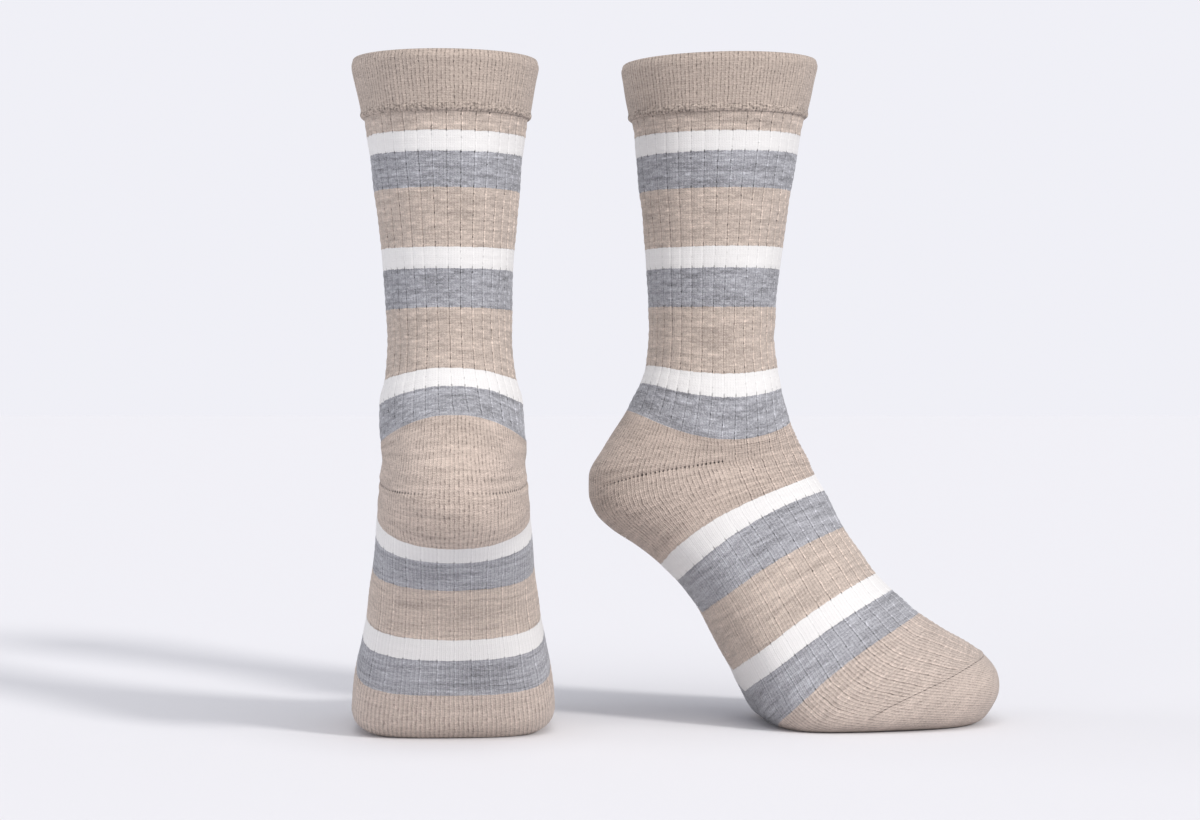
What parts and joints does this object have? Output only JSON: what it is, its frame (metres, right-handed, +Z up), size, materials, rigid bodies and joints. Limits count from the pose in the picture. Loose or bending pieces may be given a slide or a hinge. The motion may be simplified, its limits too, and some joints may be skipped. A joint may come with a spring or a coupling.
{
  "type": "pair of socks",
  "caption": "Pair of ribbed crew socks with stripes across leg and foot, plain heels and toes and folded cuffs, hollow and open at the top, standing on their toes.",
  "frame": {"origin": "on the floor, under the middle of the pair's bounding box", "axes": "+Z up along the legs, +Y the way the left sock's toe points, +X the way the right sock's toe points"},
  "size_m": [0.3324, 0.2136, 0.3389],
  "materials": {
    "cuff_yarn": "doubled fine rib in a darker heather beige",
    "striped_rib": "soft ribbed knit in heather beige with warm white and heather grey stripes",
    "heel_yarn": "plain knit in heather beige",
    "toe_yarn": "plain knit in heather beige with a linked seam over the toes"
  },
  "bodies": {
    "root": {"left_cuff": "cuff_yarn", "left_leg": "striped_rib", "left_heel": "heel_yarn", "left_foot": "striped_rib", "left_toe": "toe_yarn", "right_cuff": "cuff_yarn", "right_leg": "striped_rib", "right_heel": "heel_yarn", "right_foot": "striped_rib", "right_toe": "toe_yarn"}
  },
  "joints": []
}
